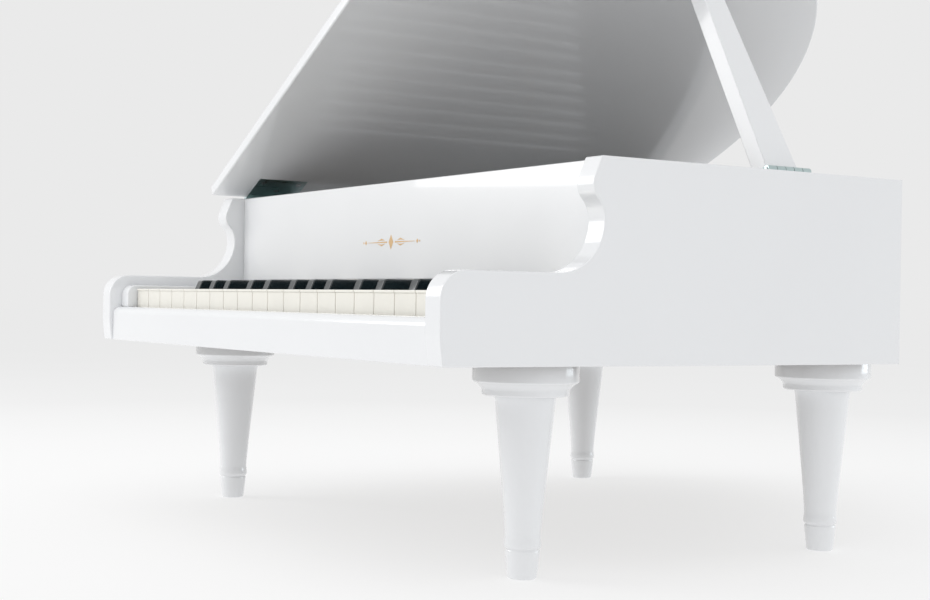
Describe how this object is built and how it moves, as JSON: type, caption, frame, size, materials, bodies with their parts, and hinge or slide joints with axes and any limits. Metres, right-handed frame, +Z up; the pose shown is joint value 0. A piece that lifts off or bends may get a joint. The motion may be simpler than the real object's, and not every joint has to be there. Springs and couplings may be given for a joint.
{
  "type": "miniature grand piano",
  "caption": "Small playable grand piano on turned legs: propped lid, short keyboard between scrolled arms, and tone tubes struck from below inside a curved case.",
  "frame": {"origin": "on the floor under the middle of the case's width and depth", "axes": "+Z up, the keyboard faces -Y, +X is the treble side"},
  "size_m": [0.4298, 0.455, 0.4053],
  "materials": {
    "white_lacquer": "sprayed gloss lacquer over fibreboard",
    "plywood": "bare sanded wood",
    "key_white": "polished ivory-coloured plastic",
    "key_black": "polished black plastic",
    "felt": "pressed wool felt",
    "tube_aluminium": "drawn tube, satin",
    "hinge_plate": "zinc plate with a cool tint",
    "steel": "bright drawn steel",
    "brass_pins": "bright brass",
    "gold_print": "printed satin gold"
  },
  "bodies": {
    "case": {"left_side": "white_lacquer", "right_side": "white_lacquer", "bent_side": "white_lacquer", "key_bed": "plywood", "fallboard": "white_lacquer", "key_slip": "white_lacquer", "key_blocks": "white_lacquer", "key_frame": "plywood", "pivot_rod": "steel", "guide_pins": "steel", "felt_strips": "felt", "tube_rails": "plywood", "tone_tubes": "tube_aluminium", "tube_pins": "brass_pins", "lid_hinge_case_leaves": "hinge_plate", "lid_hinge_pins": "steel", "prop_hinge_rim_leaf": "hinge_plate", "prop_hinge_pin": "steel", "leg_front_left": "white_lacquer", "leg_front_right": "white_lacquer", "leg_rear_left": "white_lacquer", "leg_rear_right": "white_lacquer", "case_screws": "steel"},
    "lid": {"lid": "white_lacquer", "lid_hinge_lid_leaves": "hinge_plate", "lid_screws": "steel"},
    "prop": {"prop": "white_lacquer", "prop_hinge_prop_leaf": "hinge_plate"},
    "key_f5": {"key_f5": "key_white"},
    "key_fs5": {"key_fs5": "key_black"},
    "key_g5": {"key_g5": "key_white"},
    "key_gs5": {"key_gs5": "key_black"},
    "key_a5": {"key_a5": "key_white"},
    "key_as5": {"key_as5": "key_black"},
    "key_b5": {"key_b5": "key_white"},
    "key_c6": {"key_c6": "key_white"},
    "key_cs6": {"key_cs6": "key_black"},
    "key_d6": {"key_d6": "key_white"},
    "key_ds6": {"key_ds6": "key_black"},
    "key_e6": {"key_e6": "key_white"},
    "key_f6": {"key_f6": "key_white"},
    "key_fs6": {"key_fs6": "key_black"},
    "key_g6": {"key_g6": "key_white"},
    "key_gs6": {"key_gs6": "key_black"},
    "key_a6": {"key_a6": "key_white"},
    "key_as6": {"key_as6": "key_black"},
    "key_b6": {"key_b6": "key_white"},
    "key_c7": {"key_c7": "key_white"},
    "key_cs7": {"key_cs7": "key_black"},
    "key_d7": {"key_d7": "key_white"},
    "key_ds7": {"key_ds7": "key_black"},
    "key_e7": {"key_e7": "key_white"},
    "key_f7": {"key_f7": "key_white"},
    "key_fs7": {"key_fs7": "key_black"},
    "key_g7": {"key_g7": "key_white"},
    "key_gs7": {"key_gs7": "key_black"},
    "key_a7": {"key_a7": "key_white"},
    "key_as7": {"key_as7": "key_black"},
    "key_b7": {"key_b7": "key_white"},
    "key_c8": {"key_c8": "key_white"}
  },
  "joints": [
    {"name": "lid_hinge", "type": "hinge", "parent": "case", "child": "lid", "pos_m": [-0.2151, 0, 0.1983], "axis": [0, -1, 0], "range_deg": [0, 62]},
    {"name": "prop_hinge", "type": "hinge", "parent": "case", "child": "prop", "pos_m": [0.1998, -0.0165, 0.1995], "axis": [0, -1, 0], "range_deg": [0, 62]},
    {"name": "key_f5_pivot", "type": "hinge", "parent": "case", "child": "key_f5", "pos_m": [0, -0.1135, 0.125], "axis": [1, 0, 0], "range_deg": [0, 2.5], "stiffness_Nm_per_rad": 0.2, "springref_deg": -11.46},
    {"name": "key_fs5_pivot", "type": "hinge", "parent": "case", "child": "key_fs5", "pos_m": [0, -0.1135, 0.125], "axis": [1, 0, 0], "range_deg": [0, 2.5], "stiffness_Nm_per_rad": 0.2, "springref_deg": -11.46},
    {"name": "key_g5_pivot", "type": "hinge", "parent": "case", "child": "key_g5", "pos_m": [0, -0.1135, 0.125], "axis": [1, 0, 0], "range_deg": [0, 2.5], "stiffness_Nm_per_rad": 0.2, "springref_deg": -11.46},
    {"name": "key_gs5_pivot", "type": "hinge", "parent": "case", "child": "key_gs5", "pos_m": [0, -0.1135, 0.125], "axis": [1, 0, 0], "range_deg": [0, 2.5], "stiffness_Nm_per_rad": 0.2, "springref_deg": -11.46},
    {"name": "key_a5_pivot", "type": "hinge", "parent": "case", "child": "key_a5", "pos_m": [0, -0.1135, 0.125], "axis": [1, 0, 0], "range_deg": [0, 2.5], "stiffness_Nm_per_rad": 0.2, "springref_deg": -11.46},
    {"name": "key_as5_pivot", "type": "hinge", "parent": "case", "child": "key_as5", "pos_m": [0, -0.1135, 0.125], "axis": [1, 0, 0], "range_deg": [0, 2.5], "stiffness_Nm_per_rad": 0.2, "springref_deg": -11.46},
    {"name": "key_b5_pivot", "type": "hinge", "parent": "case", "child": "key_b5", "pos_m": [0, -0.1135, 0.125], "axis": [1, 0, 0], "range_deg": [0, 2.5], "stiffness_Nm_per_rad": 0.2, "springref_deg": -11.46},
    {"name": "key_c6_pivot", "type": "hinge", "parent": "case", "child": "key_c6", "pos_m": [0, -0.1135, 0.125], "axis": [1, 0, 0], "range_deg": [0, 2.5], "stiffness_Nm_per_rad": 0.2, "springref_deg": -11.46},
    {"name": "key_cs6_pivot", "type": "hinge", "parent": "case", "child": "key_cs6", "pos_m": [0, -0.1135, 0.125], "axis": [1, 0, 0], "range_deg": [0, 2.5], "stiffness_Nm_per_rad": 0.2, "springref_deg": -11.46},
    {"name": "key_d6_pivot", "type": "hinge", "parent": "case", "child": "key_d6", "pos_m": [0, -0.1135, 0.125], "axis": [1, 0, 0], "range_deg": [0, 2.5], "stiffness_Nm_per_rad": 0.2, "springref_deg": -11.46},
    {"name": "key_ds6_pivot", "type": "hinge", "parent": "case", "child": "key_ds6", "pos_m": [0, -0.1135, 0.125], "axis": [1, 0, 0], "range_deg": [0, 2.5], "stiffness_Nm_per_rad": 0.2, "springref_deg": -11.46},
    {"name": "key_e6_pivot", "type": "hinge", "parent": "case", "child": "key_e6", "pos_m": [0, -0.1135, 0.125], "axis": [1, 0, 0], "range_deg": [0, 2.5], "stiffness_Nm_per_rad": 0.2, "springref_deg": -11.46},
    {"name": "key_f6_pivot", "type": "hinge", "parent": "case", "child": "key_f6", "pos_m": [0, -0.1135, 0.125], "axis": [1, 0, 0], "range_deg": [0, 2.5], "stiffness_Nm_per_rad": 0.2, "springref_deg": -11.46},
    {"name": "key_fs6_pivot", "type": "hinge", "parent": "case", "child": "key_fs6", "pos_m": [0, -0.1135, 0.125], "axis": [1, 0, 0], "range_deg": [0, 2.5], "stiffness_Nm_per_rad": 0.2, "springref_deg": -11.46},
    {"name": "key_g6_pivot", "type": "hinge", "parent": "case", "child": "key_g6", "pos_m": [0, -0.1135, 0.125], "axis": [1, 0, 0], "range_deg": [0, 2.5], "stiffness_Nm_per_rad": 0.2, "springref_deg": -11.46},
    {"name": "key_gs6_pivot", "type": "hinge", "parent": "case", "child": "key_gs6", "pos_m": [0, -0.1135, 0.125], "axis": [1, 0, 0], "range_deg": [0, 2.5], "stiffness_Nm_per_rad": 0.2, "springref_deg": -11.46},
    {"name": "key_a6_pivot", "type": "hinge", "parent": "case", "child": "key_a6", "pos_m": [0, -0.1135, 0.125], "axis": [1, 0, 0], "range_deg": [0, 2.5], "stiffness_Nm_per_rad": 0.2, "springref_deg": -11.46},
    {"name": "key_as6_pivot", "type": "hinge", "parent": "case", "child": "key_as6", "pos_m": [0, -0.1135, 0.125], "axis": [1, 0, 0], "range_deg": [0, 2.5], "stiffness_Nm_per_rad": 0.2, "springref_deg": -11.46},
    {"name": "key_b6_pivot", "type": "hinge", "parent": "case", "child": "key_b6", "pos_m": [0, -0.1135, 0.125], "axis": [1, 0, 0], "range_deg": [0, 2.5], "stiffness_Nm_per_rad": 0.2, "springref_deg": -11.46},
    {"name": "key_c7_pivot", "type": "hinge", "parent": "case", "child": "key_c7", "pos_m": [0, -0.1135, 0.125], "axis": [1, 0, 0], "range_deg": [0, 2.5], "stiffness_Nm_per_rad": 0.2, "springref_deg": -11.46},
    {"name": "key_cs7_pivot", "type": "hinge", "parent": "case", "child": "key_cs7", "pos_m": [0, -0.1135, 0.125], "axis": [1, 0, 0], "range_deg": [0, 2.5], "stiffness_Nm_per_rad": 0.2, "springref_deg": -11.46},
    {"name": "key_d7_pivot", "type": "hinge", "parent": "case", "child": "key_d7", "pos_m": [0, -0.1135, 0.125], "axis": [1, 0, 0], "range_deg": [0, 2.5], "stiffness_Nm_per_rad": 0.2, "springref_deg": -11.46},
    {"name": "key_ds7_pivot", "type": "hinge", "parent": "case", "child": "key_ds7", "pos_m": [0, -0.1135, 0.125], "axis": [1, 0, 0], "range_deg": [0, 2.5], "stiffness_Nm_per_rad": 0.2, "springref_deg": -11.46},
    {"name": "key_e7_pivot", "type": "hinge", "parent": "case", "child": "key_e7", "pos_m": [0, -0.1135, 0.125], "axis": [1, 0, 0], "range_deg": [0, 2.5], "stiffness_Nm_per_rad": 0.2, "springref_deg": -11.46},
    {"name": "key_f7_pivot", "type": "hinge", "parent": "case", "child": "key_f7", "pos_m": [0, -0.1135, 0.125], "axis": [1, 0, 0], "range_deg": [0, 2.5], "stiffness_Nm_per_rad": 0.2, "springref_deg": -11.46},
    {"name": "key_fs7_pivot", "type": "hinge", "parent": "case", "child": "key_fs7", "pos_m": [0, -0.1135, 0.125], "axis": [1, 0, 0], "range_deg": [0, 2.5], "stiffness_Nm_per_rad": 0.2, "springref_deg": -11.46},
    {"name": "key_g7_pivot", "type": "hinge", "parent": "case", "child": "key_g7", "pos_m": [0, -0.1135, 0.125], "axis": [1, 0, 0], "range_deg": [0, 2.5], "stiffness_Nm_per_rad": 0.2, "springref_deg": -11.46},
    {"name": "key_gs7_pivot", "type": "hinge", "parent": "case", "child": "key_gs7", "pos_m": [0, -0.1135, 0.125], "axis": [1, 0, 0], "range_deg": [0, 2.5], "stiffness_Nm_per_rad": 0.2, "springref_deg": -11.46},
    {"name": "key_a7_pivot", "type": "hinge", "parent": "case", "child": "key_a7", "pos_m": [0, -0.1135, 0.125], "axis": [1, 0, 0], "range_deg": [0, 2.5], "stiffness_Nm_per_rad": 0.2, "springref_deg": -11.46},
    {"name": "key_as7_pivot", "type": "hinge", "parent": "case", "child": "key_as7", "pos_m": [0, -0.1135, 0.125], "axis": [1, 0, 0], "range_deg": [0, 2.5], "stiffness_Nm_per_rad": 0.2, "springref_deg": -11.46},
    {"name": "key_b7_pivot", "type": "hinge", "parent": "case", "child": "key_b7", "pos_m": [0, -0.1135, 0.125], "axis": [1, 0, 0], "range_deg": [0, 2.5], "stiffness_Nm_per_rad": 0.2, "springref_deg": -11.46},
    {"name": "key_c8_pivot", "type": "hinge", "parent": "case", "child": "key_c8", "pos_m": [0, -0.1135, 0.125], "axis": [1, 0, 0], "range_deg": [0, 2.5], "stiffness_Nm_per_rad": 0.2, "springref_deg": -11.46}
  ]
}
